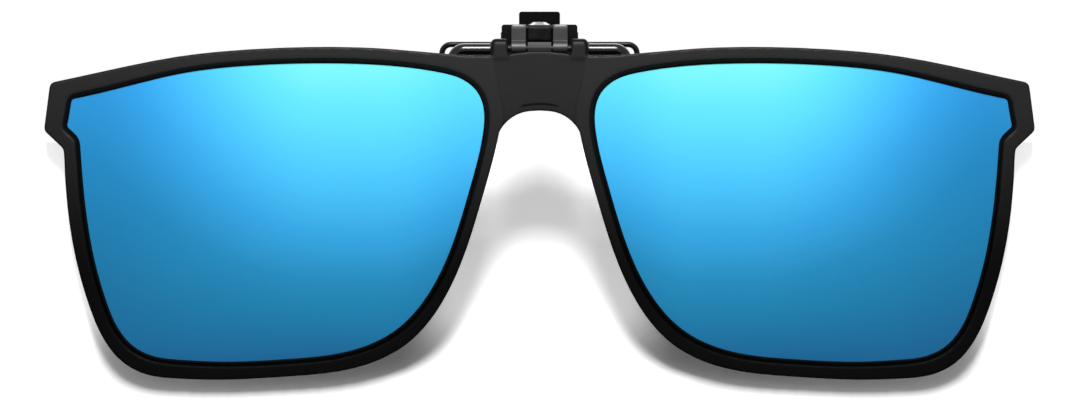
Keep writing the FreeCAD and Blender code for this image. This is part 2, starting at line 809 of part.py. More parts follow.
def make_front_claws():
    claw_path = [("claw_root", "claw_height"), ("claw_span", "claw_height"), ("claw_span", CLAW_END)]
    offset = opposite(CLAW_Y)

    def claw(name, start, end, radius):
        path = [(start, "claw_height"), ("claw_span", "claw_height"), ("claw_span", end)]
        section = round_section("YZ", start, (CLAW_Y, "claw_height"), [radius])
        return pipe(name, "XZ", offset, path, "claw_bend", section)

    wire = claw("ClawWire", "claw_root", CLAW_END, "claw_wire_radius")
    jacket = claw("ClawJacket", "cover_start", f"{CLAW_END} - cover_end", "cover_radius")
    bore = claw("ClawJacketBore", "claw_root", CLAW_END, "claw_wire_radius")
    pad_middle = "0.5*loop_inner + 0.5*loop_outer"
    pad = bound_box(
        "ClawPad",
        (f"{pad_middle} - 0.5*pad_width", f"{pad_middle} + 0.5*pad_width"),
        (less(CLAW_Y, "0.5*cover_radius"), PAD_BACK),
        (CLAW_END, f"{CLAW_END} + pad_height"),
    )
    cover = cut("ClawCover", fuse("ClawCoverBody", [jacket, pad]), [bore])
    mirror_node(add_node(wire, "front_claw_wire_left"), "front_claw_wire_right")
    mirror_node(add_node(cover, "front_claw_cover_left"), "front_claw_cover_right")

    keeper_front = f"{CLAW_Y} + claw_wire_radius"
    keeper_back = f"{keeper_front} + front_keeper_thickness"
    half = LEVER_HALF
    top = "claw_height + claw_wire_radius"
    keeper = bound_box(
        "FrontKeeper", (opposite(half), half), (keeper_front, keeper_back),
        (f"{top} - front_keeper_height", top),
    )  # fmt: skip
    holes = [
        rod(
            f"FrontKeeperHole{tag}", "rivet_radius", f"{side}*front_rivet_x",
            (f"{keeper_front} - {PAST}", f"{keeper_back} + {PAST}"), FRONT_RIVET_Z,
        )
        for side, tag in ((1, "Right"), (-1, "Left"))
    ]  # fmt: skip
    add_node(cut("FrontKeeperPlate", keeper, holes), "front_claw_keeper")
    rivet_pair("FrontRivets", "front_claw_rivets", "front_rivet_x", FRONT_RIVET_Z, "bracket_front", keeper_back)


def make_torsion_spring():
    """A close coil round the jaw pin, one leg to the bracket's front and one to the lever."""
    wire = value("spring_wire")
    radius = value("jaw_pin_radius + spring_clearance") + wire
    pitch, turns = value("spring_pitch"), value("spring_turns")
    coil = Part.makeHelix(pitch, pitch * turns, radius)
    slope = Vector(0, 1, pitch / (2 * math.pi * radius))
    front_leg = value(less("jaw_pin_y", "bracket_front + bracket_wall")) - wire
    back_leg = value(less(LEVER_FRONT, "jaw_pin_y")) - wire
    start, end = Vector(radius, 0, 0), Vector(radius, 0, pitch * turns)
    legs = [
        Part.LineSegment(start - slope * front_leg, start).toShape(),
        Part.LineSegment(end, end + slope * back_leg).toShape(),
    ]
    path = Part.Wire([legs[0], *coil.Edges, legs[1]])
    circle = Part.Circle(start - slope * front_leg, slope, wire).toShape()
    spring = path.makePipeShell([Part.Wire(circle)], True, True)
    feature = doc.addObject("Part::Feature", "Shape_torsion_spring")
    feature.Shape = spring
    middle = Placement(Vector(0, 0, -pitch * turns / 2), Rotation())
    about_pin = Placement(Vector(0, value("jaw_pin_y"), value("jaw_pin_z")), Rotation(Vector(0, 1, 0), -90))
    feature.Placement = about_pin.multiply(middle)
    add_node(feature, "torsion_spring")


# --- Jaw lever, rear claws ---------------------------------------------------------------------------------


def make_lever():
    half = LEVER_HALF
    plate = (LEVER_FRONT, LEVER_BACK)
    pieces = [
        bound_box("LeverPlate", (opposite(half), half), plate, ("0 - lever_drop", "shoulder_top")),
        bound_box("LeverTab", ("0 - 0.5*tab_width", "0.5*tab_width"), plate, ("shoulder_top", "tab_top")),
    ]
    holes = [
        rod("LeverPinBore", "jaw_pin_radius + running_clearance", (f"{opposite(half)} - {PAST}", f"{half} + {PAST}"),
            "jaw_pin_y", "jaw_pin_z"),
    ]  # fmt: skip
    for side, tag in ((1, "Right"), (-1, "Left")):
        span = mirrored_span(f"{half} - flange_thickness", half, side)
        reach = ("jaw_pin_z - flange_radius", "jaw_pin_z + flange_radius")
        pieces += [
            bound_box(f"LeverFlange{tag}", span, ("jaw_pin_y", LEVER_FRONT), reach),
            rod(f"LeverFlangeEnd{tag}", "flange_radius", span, "jaw_pin_y", "jaw_pin_z"),
        ]
        holes.append(
            rod(f"LeverRivetHole{tag}", "rivet_radius", f"{side}*rear_rivet_x",
                (f"{LEVER_FRONT} - {PAST}", f"{LEVER_BACK} + {PAST}"), "rear_rivet_z")
        )  # fmt: skip
    add_node(cut("Lever", fuse("LeverBody", pieces), holes), "press_lever")

    tab = ("0 - 0.5*tab_width", "0.5*tab_width")
    block = bound_box(
        "GripBlock", ("0 - 0.5*grip_width", "0.5*grip_width"),
        (f"{LEVER_FRONT} - grip_wall", f"{LEVER_BACK} + grip_wall"), ("grip_bottom", "grip_top"),
    )  # fmt: skip
    pocket = bound_box("GripPocket", tab, plate, (f"grip_bottom - {PAST}", "tab_top"))
    middle = value("0.5*grip_bottom + 0.5*grip_top")
    soft = round_edges("GripRounded", block, "grip_edge", lambda p, d: abs(d.y) > MOSTLY and p.z > middle)
    add_node(cut("Grip", soft, [pocket]), "thumb_grip")


def make_rear_claws():
    loop = [
        ("loop_root", "loop_top"), ("loop_outer", "loop_top"), ("loop_outer", "loop_bottom"),
        ("loop_inner", "loop_bottom"), ("loop_inner", "loop_return"), ("loop_root", "loop_return"),
    ]  # fmt: skip
    offset = opposite(LOOP_Y)
    section = round_section("YZ", "loop_root", (LOOP_Y, "loop_top"), ["loop_wire_radius"])
    wire = pipe("LoopWire", "XZ", offset, loop, "loop_bend", section)
    mirror_node(add_node(wire, "rear_claw_loop_left"), "rear_claw_loop_right")

    grip = [
        ("loop_outer", "sleeve_outer_top"), ("loop_outer", "loop_bottom"),
        ("loop_inner", "loop_bottom"), ("loop_inner", "sleeve_inner_top"),
    ]  # fmt: skip
    tube = round_section(
        "XY", "sleeve_outer_top", ("loop_outer", LOOP_Y), ["sleeve_radius", "loop_wire_radius"]
    )
    sleeve = pipe("LoopSleeve", "XZ", offset, grip, "loop_bend", tube)
    mirror_node(add_node(sleeve, "rear_claw_sleeve_left"), "rear_claw_sleeve_right")

    keeper_front = f"{LOOP_Y} + loop_wire_radius"
    keeper_back = f"{keeper_front} + rear_keeper_thickness"
    half = LEVER_HALF
    keeper = bound_box(
        "RearKeeper", (opposite(half), half), (keeper_front, keeper_back),
        ("loop_return - sleeve_radius", "loop_top + sleeve_radius"),
    )  # fmt: skip
    holes = [
        rod(f"RearKeeperHole{tag}", "rivet_radius", f"{side}*rear_rivet_x",
            (f"{keeper_front} - {PAST}", f"{keeper_back} + {PAST}"), "rear_rivet_z")
        for side, tag in ((1, "Right"), (-1, "Left"))
    ]  # fmt: skip
    add_node(cut("RearKeeperPlate", keeper, holes), "rear_claw_keeper")
    rivet_pair("RearRivets", "rear_claw_rivets", "rear_rivet_x", "rear_rivet_z", LEVER_FRONT, keeper_back)


def check_document():
    """Stop before anything is written if a feature failed or a sub-part is not a sound solid."""
    doc.recompute()
    for obj in doc.Objects:
        if "Invalid" in obj.State or "Error" in obj.State:
            raise RuntimeError(f"{obj.Label}: {obj.State}")
    for obj in nodes:
        if obj.Shape.isNull() or not obj.Shape.isValid() or not obj.Shape.Solids:
            raise RuntimeError(f"{obj.Label} is not a valid solid")


make_front()
make_hinge()
make_bracket()
make_detent_leaf()
make_leaf_rivet()
make_front_claws()
make_headed_pin("JawPin", "jaw_pin", "jaw_pin_radius", "0.5*bracket_width", "jaw_pin_y", "jaw_pin_z")
make_torsion_spring()
make_lever()
make_rear_claws()
check_document()

os.makedirs("parts", exist_ok=True)
for node in nodes:
    node.Shape.exportStep(f"parts/{node.Label}.step")
    box = node.Shape.BoundBox
    print(f"{node.Label}: {len(node.Shape.Solids)} solid(s), {node.Shape.Volume:.1f} mm3, "
          f"x {box.XMin:.2f}..{box.XMax:.2f} y {box.YMin:.2f}..{box.YMax:.2f} z {box.ZMin:.2f}..{box.ZMax:.2f}")
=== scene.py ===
import math

import bmesh
import bpy
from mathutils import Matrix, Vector


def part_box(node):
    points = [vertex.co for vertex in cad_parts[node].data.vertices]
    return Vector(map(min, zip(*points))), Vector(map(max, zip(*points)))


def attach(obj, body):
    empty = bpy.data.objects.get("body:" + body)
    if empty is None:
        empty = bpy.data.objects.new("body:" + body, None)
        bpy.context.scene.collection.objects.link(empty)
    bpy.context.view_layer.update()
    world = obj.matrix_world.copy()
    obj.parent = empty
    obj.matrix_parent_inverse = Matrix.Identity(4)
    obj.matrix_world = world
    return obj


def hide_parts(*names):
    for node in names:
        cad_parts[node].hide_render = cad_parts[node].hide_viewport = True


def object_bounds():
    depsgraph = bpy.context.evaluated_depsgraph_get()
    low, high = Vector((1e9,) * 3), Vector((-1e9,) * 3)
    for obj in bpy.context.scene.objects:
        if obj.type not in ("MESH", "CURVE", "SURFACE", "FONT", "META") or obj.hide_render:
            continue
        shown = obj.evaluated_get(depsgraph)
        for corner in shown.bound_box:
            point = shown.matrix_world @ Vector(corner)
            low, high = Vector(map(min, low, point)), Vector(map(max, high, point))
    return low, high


# Clip-on flip-up lenses: finishes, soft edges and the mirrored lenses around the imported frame.
# Everything is in metres, in the part's own frame: X across, Y back towards the wearer, Z up.

MM = 0.001
SIDES = ("left", "right")
FACE_RADIUS = 420 * MM  # curve of the front, seen from above
LENS_DOME = 0.45 * MM  # how far a lens swells forward in its middle
LENS_EDGE = 0.06 * MM  # how far the front of a lens falls back at its very edge
LENS_THICKNESS = 1.2 * MM
LENS_STEPS = 300  # points round the outline of a lens
BEAD_INSET = 0.34 * MM  # from the outline of a lens to the middle of the dark bead of painted shade round it
BEAD_RADIUS = 0.23 * MM
GRAIN_DEPTH = 0.01 * MM  # height of the fine grain of the plastic, rubber and metal

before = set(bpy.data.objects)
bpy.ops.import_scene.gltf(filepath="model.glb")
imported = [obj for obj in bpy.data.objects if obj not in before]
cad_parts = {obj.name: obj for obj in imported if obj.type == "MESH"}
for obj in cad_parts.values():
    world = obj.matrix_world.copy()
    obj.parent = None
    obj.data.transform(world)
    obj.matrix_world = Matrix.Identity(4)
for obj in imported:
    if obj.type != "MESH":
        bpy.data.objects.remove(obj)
cad_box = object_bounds()


# --- Node helpers ------------------------------------------------------------------------------------------


class Nodes:
    """The node tree of a material or world, with short ways to add and join nodes."""

    def __init__(self, owner):
        self.owner = owner
        owner.use_nodes = True
        self.tree = owner.node_tree
        self.tree.nodes.clear()

    def add(self, kind, **values):
        node = self.tree.nodes.new(kind)
        for key, value in values.items():
            setattr(node, key, value)
        return node

    def link(self, output, socket):
        self.tree.links.new(output, socket)

    def feed(self, socket, value):
        """Join another node's output to a socket, or set its number or colour."""
        if isinstance(value, bpy.types.NodeSocket):
            self.link(value, socket)
        else:
            socket.default_value = value

    def math(self, operation, *inputs, clamp=False):
        node = self.add("ShaderNodeMath", operation=operation, use_clamp=clamp)
        for socket, value in zip(node.inputs, inputs):
            self.feed(socket, value)
        return node.outputs[0]

    def product(self, first, *others):
        """Several values multiplied together."""
        result = first
        for value in others:
            result = self.math("MULTIPLY", result, value)
        return result

    def vector(self, operation, *inputs):
        node = self.add("ShaderNodeVectorMath", operation=operation)
        for socket, value in zip(node.inputs, inputs):
            self.feed(socket, value)
        return node.outputs[0]

    def scaled(self, color, level):
        """A colour made darker or lighter by a level."""
        node = self.add("ShaderNodeVectorMath", operation="SCALE")
        self.link(color, node.inputs[0])
        self.feed(node.inputs["Scale"], level)
        return node.outputs[0]

    def place(self):
        """The point of the object, in metres."""
        return self.add("ShaderNodeTexCoord").outputs["Object"]

    def axes(self, vector=None):
        """The X, Y and Z of a vector, or else of the point of the object."""
        node = self.add("ShaderNodeSeparateXYZ")
        self.link(self.place() if vector is None else vector, node.inputs[0])
        return node.outputs

    def noise(self, scale, detail=3.0, roughness=0.5):
        node = self.add("ShaderNodeTexNoise")
        self.link(self.place(), node.inputs["Vector"])
        node.inputs["Scale"].default_value = scale
        node.inputs["Detail"].default_value = detail
        node.inputs["Roughness"].default_value = roughness
        return node.outputs["Fac"]

    def ramp(self, fac, stops):
        node = self.add("ShaderNodeValToRGB")
        elements = node.color_ramp.elements
        while len(elements) < len(stops):
            elements.new(0.5)
        for element, (position, color) in zip(elements, stops):
            element.position = position
            element.color = (*color, 1.0)
        self.link(fac, node.inputs["Fac"])
        return node.outputs["Color"]

    def spread(self, value, low, high, start=0.0, end=1.0, smooth=False):
        """A value between start and end mapped onto low to high, and held there beyond them."""
        node = self.add("ShaderNodeMapRange", interpolation_type="SMOOTHSTEP" if smooth else "LINEAR")
        self.link(value, node.inputs["Value"])
        for name, number in (("From Min", start), ("From Max", end), ("To Min", low), ("To Max", high)):
            node.inputs[name].default_value = number
        return node.outputs["Result"]

    def grain(self, scale, strength, rounding=None):
        """A fine grain in the surface's normals, over edges that look rounded by a radius if one is given."""
        node = self.add("ShaderNodeBump")
        node.inputs["Strength"].default_value = strength
        node.inputs["Distance"].default_value = GRAIN_DEPTH
        self.link(self.noise(scale, 2), node.inputs["Height"])
        if rounding is not None:
            edge = self.add("ShaderNodeBevel", samples=8)
            self.feed(edge.inputs["Radius"], rounding)
            self.link(edge.outputs["Normal"], node.inputs["Normal"])
        return node.outputs["Normal"]

    def surface(self, **sockets):
        """A Principled shader with these sockets, joined to the output."""
        shader = self.add("ShaderNodeBsdfPrincipled")
        for name, value in sockets.items():
            self.feed(shader.inputs[name.replace("_", " ")], value)
        return self.finish(shader)

    def finish(self, shader, output="ShaderNodeOutputMaterial"):
        """Join the last shader to the output, and give back the material or world."""
        self.link(shader.outputs[0], self.add(output).inputs["Surface"])
        return self.owner


def material_nodes(name):
    return Nodes(bpy.data.materials.new(name))


def srgb(red, green, blue):
    """An sRGB colour in 0 to 255 as linear values."""

    def linear(channel):
        share = channel / 255
        return share / 12.92 if share <= 0.04045 else ((share + 0.055) / 1.055) ** 2.4

    return tuple(linear(channel) for channel in (red, green, blue))


def grey(level, blue=1.0):
    return (level, level, level * blue)


# --- Finishes ----------------------------------------------------------------------------------------------


def moulded_black():
    """Black nylon with a fine moulded grain, with painted shade: darker low down, towards the temples, on
    edges turned away from the front, on the bridge's middle panel and in a painted shadow line above the nose
    arch.
    """
    n = material_nodes("moulded_black")
    x, _, z = n.axes()
    across = n.math("ABSOLUTE", x)
    # Painted shade: the black is darker low down and towards the temples, as light from above and the middle
    # falls off.
    dark_below, light_above = -29 * MM, 5 * MM
    light_within, dark_beyond = 40 * MM, 72 * MM
    height = n.spread(z, 0.05, 0.9, dark_below, light_above, smooth=True)
    inner = n.spread(across, 1.0, 0.6, light_within, dark_beyond, smooth=True)
    mottle = n.spread(n.noise(160, 4), 0.85, 1.15)
    plain = n.ramp(n.product(height, mottle, inner), [(0.0, grey(0.0006)), (1.0, grey(0.0125, 1.04))])
    # Painted shade on the bridge's middle panel, and a painted shadow line above the nose arch.
    panel, arch_shadow_line = bridge_painted_shade(n, across, z)
    dimmed_by_panel_shade, dimmed_by_arch_shadow = n.spread(panel, 1.0, 0.7), n.spread(arch_shadow_line, 1.0, 0.3)
    # Painted shade on edges that turn away from the front.
    _, forward, _ = n.axes(n.add("ShaderNodeTexCoord").outputs["Normal"])
    face = n.spread(n.math("ABSOLUTE", forward), 0.3, 1, 0.75, 0.97, smooth=True)
    return n.surface(
        Base_Color=n.scaled(plain, n.product(dimmed_by_panel_shade, dimmed_by_arch_shadow, face)),
        Roughness=n.spread(n.noise(420), 0.4, 0.5),
        Specular_IOR_Level=n.product(n.spread(height, 0.02, 0.2), dimmed_by_arch_shadow, face),
        Normal=n.grain(9000, 0.2),
    )


def bridge_painted_shade(n, across, z):
    """Where painted shade darkens the bridge's flatter middle panel, and where a fine painted shadow line
    lies above the nose arch.
    """
    half_low, half_high = 5.5 * MM, 7.0 * MM  # half the panel's width at its lowest and highest points
    half_panel = n.spread(z, half_low, half_high, -3.4 * MM, 5.0 * MM)
    inside = n.math("SUBTRACT", half_panel, across)
    panel = n.spread(inside, 0, 1, -0.15 * MM, 0.3 * MM, smooth=True)

    arc_radius, arc_centre = 11 * MM, -13.4 * MM  # of the painted shadow line, whose centre is on the middle plane
    above = n.math("SUBTRACT", z, arc_centre)
    reach = n.math("SQRT", n.math("ADD", n.math("POWER", across, 2), n.math("POWER", above, 2)))
    away = n.math("ABSOLUTE", n.math("SUBTRACT", reach, arc_radius))
    line = n.spread(away, 1, 0, 0.05 * MM, 0.3 * MM, smooth=True)
    upper = n.math("GREATER_THAN", z, arc_centre)
    middle = n.spread(across, 1, 0, 2.2 * MM, 3.2 * MM, smooth=True)
    return panel, n.product(line, upper, middle)


def black_rubber(name, rough, specular):
    """Matt black of the dipped claws, the grip and the dark beads round the lenses, with a faint bloom."""
    n = material_nodes(name)
    return n.surface(
        Base_Color=n.ramp(n.noise(1500), [(0.35, grey(0.0015)), (0.75, grey(0.004))]),
        Roughness=n.spread(n.noise(700), *rough),
        Specular_IOR_Level=specular,
        Normal=n.grain(2600, 0.15),
    )


def coated_metal(name, low, high, rough, rounding=None, specular=0.4):
    """Steel with a thin dark coat, a little worn in patches."""
    n = material_nodes(name)
    return n.surface(
        Base_Color=n.ramp(n.noise(900, 5, 0.65), [(0.35, low), (0.75, high)]),
        Metallic=0.5,
        Roughness=n.spread(n.noise(2200), *rough),
        Specular_IOR_Level=specular,
        Normal=n.grain(6000, 0.2, rounding),
    )


def bracket_coat():
    """The bracket's black coat, with painted highlights: grey on the bent legs that carry the hinge pin,
    lighter higher up, and brightest along the bend at their top.
    """
    n = material_nodes("bracket_black")
    _, y, z = n.axes()
    legs_y, plate_y = -4.6 * MM, -4.1 * MM
    leg_low, leg_high = 5.4 * MM, 6.8 * MM
    bend_low, bend_high = 8.5 * MM, 8.95 * MM
    front = n.spread(y, 1, 0, legs_y, plate_y, smooth=True)
    # Painted highlights: the legs lighter higher up, and a bright strip along the bend at their top.
    leg = n.spread(z, 0.35, 1, leg_low, leg_high, smooth=True)
    bend = n.product(front, n.spread(z, 0, 1, bend_low, bend_high, smooth=True))
    painted_leg_light = n.product(front, leg, n.spread(n.noise(700, 4, 0.6), 0.75, 1.25))
    painted_bend_highlight = n.product(bend, n.spread(n.noise(1300, 3), 0.7, 1.1))
    painted_highlight = n.product(n.math("ADD", painted_leg_light, painted_bend_highlight), 0.5)
    return n.surface(
        Base_Color=n.ramp(painted_highlight, [(0.0, grey(0.003)), (0.5, grey(0.038, 1.02)), (1.0, grey(0.11))]),
        Metallic=0.5,
        Roughness=n.spread(n.noise(2200), 0.36, 0.46),
        Specular_IOR_Level=n.spread(front, 0.15, 0.5),
        Normal=n.grain(6000, 0.2, n.spread(bend, 0.1 * MM, 0.6 * MM)),
    )


def cam_finish():
    """The detent cam: dark, with a painted highlight in a grey band across its upper part, near where the
    leaf rests.
    """
    n = material_nodes("cam_grey")
    _, _, z = n.axes()
    band_low, band_high = 5.7 * MM, 6.0 * MM
    # Painted highlight: a grey band across the cam's upper part.
    highlight_band = n.spread(z, 0, 1, band_low, band_high, smooth=True)
    painted_highlight = n.product(highlight_band, n.spread(n.noise(900, 4), 0.8, 1.2))
    return n.surface(
        Base_Color=n.ramp(painted_highlight, [(0.0, grey(0.004)), (1.0, grey(0.08))]),
        Metallic=0.4,
        Roughness=n.spread(n.noise(2200), 0.38, 0.5),
        Normal=n.grain(6000, 0.2),
    )


def bright_metal(name, low, high, rough):
    """Bare bright steel of the rivets."""
    n = material_nodes(name)
    return n.surface(
        Base_Color=n.ramp(n.noise(1800, 4), [(0.3, low), (0.7, high)]),
        Metallic=1.0,
        Roughness=n.spread(n.noise(3200), *rough),
        Normal=n.grain(7000, 0.15),
    )


def mirror_coat():
    """A blue mirror coat, its own blue with a painted reflection of a bright light above: pale cyan at the
    top towards the nose, deep blue at the bottom and temples.
    """
    n = material_nodes("mirror_coat")
    low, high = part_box("lens_left")
    x, _, z = n.axes()
    across = n.spread(n.math("ABSOLUTE", x), 0, 1, low.x, high.x)
    down = n.spread(z, 0, 1, high.z, low.z)
    # Painted reflection: lighter high up and towards the nose, darker low down and at the temples, and bluer
    # near the top.
    temple = n.spread(across, 0, 0.62, 0.38, 0.98, smooth=True)
    nose = n.spread(across, 0.12, 0, 0, 0.25, smooth=True)
    lit = n.math("SUBTRACT", 1.0, down)
    glow = n.math("SUBTRACT", lit, n.product(temple, lit))
    glow = n.math("SUBTRACT", glow, nose)
    glow = n.math("ADD", glow, n.spread(n.noise(35, 2), -0.03, 0.03), clamp=True)
    color = n.ramp(glow, [
        (0.0, srgb(0, 92, 141)),
        (0.15, srgb(7, 120, 166)),
        (0.27, srgb(21, 135, 183)),
        (0.43, srgb(45, 164, 218)),
        (0.63, srgb(72, 201, 243)),
        (0.85, srgb(100, 233, 246)),
        (1.0, srgb(130, 252, 247)),
    ])
    tint = n.add("ShaderNodeCombineXYZ")
    for socket, level in zip(tint.inputs, (1.0, 1.0, n.spread(down, 1.22, 1.02, 0.05, 0.75))):
        n.feed(socket, level)
    bluer = n.vector("MULTIPLY", color, tint.outputs[0])
    return n.surface(
        Base_Color=n.vector("MINIMUM", bluer, (1, 1, 1)),
        Metallic=0.5,
        Roughness=n.spread(n.noise(600), 0.14, 0.18),
        Specular_IOR_Level=0.3,
        Coat_Weight=0.1,
        Coat_Roughness=0.03,
    )


def lens_back():
    """The smoke tint behind the mirror coat, seen from the wearer's side."""
    n = material_nodes("lens_back")
    tone = n.ramp(n.noise(40, 2), [(0.3, srgb(24, 27, 31)), (0.7, srgb(32, 36, 41))])
    return n.surface(Base_Color=tone, Roughness=n.spread(n.noise(500), 0.05, 0.09))


# --- Shapes ------------------------------------------------------------------------------------------------


def share_between(value, start, end):
    """How far a value is on the way from start to end, held to 0 to 1."""
    return min(max((value - start) / (end - start), 0.0), 1.0)


def add_object(name, data):
    """An object of the scene that shows a mesh, a lamp or a camera."""
    thing = bpy.data.objects.new(name, data)
    bpy.context.scene.collection.objects.link(thing)
    return thing


def add_piece(name, mesh, materials):
    """An object made from a bmesh, with its faces turned outwards."""
    bmesh.ops.recalc_face_normals(mesh, faces=mesh.faces)
    data = bpy.data.meshes.new(name)
    mesh.to_mesh(data)
    mesh.free()
    for material in materials:
        data.materials.append(material)
    return add_object(name, data)


def paint(node, material):
    """Give a CAD node one material and no other."""
    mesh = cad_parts[node].data
    mesh.materials.clear()
    mesh.materials.append(material)


def soften(node, width):
    """Round a stamped or machined piece's edges: its flat faces are made whole first."""
    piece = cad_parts[node]
    flat = piece.modifiers.new("flat_faces", "DECIMATE")
    flat.decimate_type = "DISSOLVE"
    flat.angle_limit = math.radians(1)
    bevel = piece.modifiers.new("soft_edges", "BEVEL")
    bevel.width = width
    bevel.segments = 3
    bevel.limit_method = "ANGLE"
    bevel.angle_limit = math.radians(35)
    bevel.harden_normals = True


def mould(node, grain, passes):
    """Give a moulded piece the rounded edges that it leaves the tool with."""
    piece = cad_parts[node]
    remesh = piece.modifiers.new("moulded", "REMESH")
    remesh.mode = "VOXEL"
    remesh.voxel_size = grain
    remesh.use_smooth_shade = True
    smooth = piece.modifiers.new("relaxed", "SMOOTH")
    smooth.factor = 0.5
    smooth.iterations = passes


def outline_of(node):
    """A flat piece's middle, and its outline as points in order round it, seen from the front."""
    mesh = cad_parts[node].data
    points = {(round(v.co.x, 6), round(v.co.z, 6)) for v in mesh.vertices}
    low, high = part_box(node)
    middle = (low + high) / 2
    ordered = sorted(points, key=lambda p: math.atan2(p[1] - middle.z, p[0] - middle.x))
    return middle, ordered


def even_points(points, count):
    """The closed outline again, as points at even steps along it."""
    loop = [Vector(p) for p in points]
    loop.append(loop[0])
    lengths = [0.0]
    for a, b in zip(loop, loop[1:]):
        lengths.append(lengths[-1] + (b - a).length)
    even = []
    at = 0
    for step in range(count):
        target = lengths[-1] * step / count
        while lengths[at + 1] < target:
            at += 1
        share = (target - lengths[at]) / max(lengths[at + 1] - lengths[at], 1e-9)
        even.append(loop[at].lerp(loop[at + 1], share))
    return even


def sag(x):
    """How far the curved front falls back at x."""
    return FACE_RADIUS - math.sqrt(FACE_RADIUS**2 - x**2)


def lens_rings():
    """Shares of the way from the middle of a lens to its outline, closer together near the outline."""
    inner = [ring / 22 for ring in range(1, 21)]
    return [*inner, 0.935, 0.955, 0.967, 0.972, 0.976, 0.98, 0.985, 0.99, 1.0]


def edge_drop(share):
    """How far the ground edge of a lens has fallen back at a share of the way out."""
    return LENS_EDGE * share_between(share, 0.973, 0.99)


def lens_front(low, high, x, z):
    """Where the domed front of a lens lies, from the corners of its blank's box."""
    middle, half = (low + high) / 2, (high - low) / 2
    swell = 1 - ((x - middle.x) / half.x) ** 2 * 0.5 - ((z - middle.z) / half.z) ** 2 * 0.5
    return low.y - sag(min(abs(low.x), abs(high.x))) + sag(x) - LENS_DOME * max(swell, 0.0)


def make_lens(node, front, back):
    """A lens with a gently domed front and a ground edge, in place of the plain curved blank."""
    low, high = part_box(node)
    middle, points = outline_of(node)
    rim = even_points(points, LENS_STEPS)
    mesh = bmesh.new()

    def surface_point(x, z, share, back_face):
        depth = LENS_THICKNESS if back_face else edge_drop(share)
        return Vector((x, lens_front(low, high, x, z) + depth, z))

    def layer(back_face):
        rings = [[mesh.verts.new(surface_point(middle.x, middle.z, 0.0, back_face))]]
        for share in lens_rings():
            ring = []
            for p in rim:
                x = middle.x + (p.x - middle.x) * share
                z = middle.z + (p.y - middle.z) * share
                ring.append(mesh.verts.new(surface_point(x, z, share, back_face)))
            rings.append(ring)
        return rings

    outer, inner = layer(False), layer(True)
    coat, tint = 0, 1
    for rings, finish in ((outer, coat), (inner, tint)):
        for a, b in zip(rings, rings[1:]):
            for k in range(LENS_STEPS):
                j = (k + 1) % LENS_STEPS
                corners = [a[0], b[k], b[j]] if len(a) == 1 else [a[k], b[k], b[j], a[j]]
                face = mesh.faces.new(corners)
                face.material_index = finish
                face.smooth = True
    for k in range(LENS_STEPS):
        j = (k + 1) % LENS_STEPS
        mesh.faces.new([outer[-1][k], outer[-1][j], inner[-1][j], inner[-1][k]]).material_index = tint
    lens = add_piece(f"{node}_coated", mesh, (front, back))
    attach(lens, "lens_frame")
    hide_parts(node)


def make_shade_bead(node, material, sides=8):
    """A dark bead round the lens where it meets the rim: a clean dark line of painted shade all round the
    lens.
    """
    low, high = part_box(node)
    _, points = outline_of(node)
    rim = even_points(points, LENS_STEPS)
    mesh = bmesh.new()
    rings = []
    for k, p in enumerate(rim):
        along = (rim[(k + 2) % LENS_STEPS] - rim[k - 2]).normalized()
        inward = Vector((-along.y, along.x))
        centre = p + inward * BEAD_INSET
        y = lens_front(low, high, centre.x, centre.y)
        ring = []
        for step in range(sides):
            turn = 2 * math.pi * step / sides
            out = centre + inward * (BEAD_RADIUS * math.cos(turn))
            ring.append(mesh.verts.new((out.x, y + BEAD_RADIUS * math.sin(turn), out.y)))
        rings.append(ring)
    for k in range(LENS_STEPS):
        a, b = rings[k], rings[(k + 1) % LENS_STEPS]
        for step in range(sides):
            after = (step + 1) % sides
            mesh.faces.new([a[step], b[step], b[after], a[after]]).smooth = True
    bead = add_piece(f"{node}_seat", mesh, (material,))
    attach(bead, "lens_frame")


# --- Build -------------------------------------------------------------------------------------------------


def finish_front():
    paint("front_frame", moulded_black())
    mould("front_frame", grain=0.2 * MM, passes=4)
    coat, tint = mirror_coat(), lens_back()
    # A dark bead of painted shade runs round each lens where it meets the rim.
    shade_bead = black_rubber("shade_bead_black", rough=(0.5, 0.6), specular=0.02)
    for side in SIDES:
        make_lens(f"lens_{side}", coat, tint)
        make_shade_bead(f"lens_{side}", shade_bead)


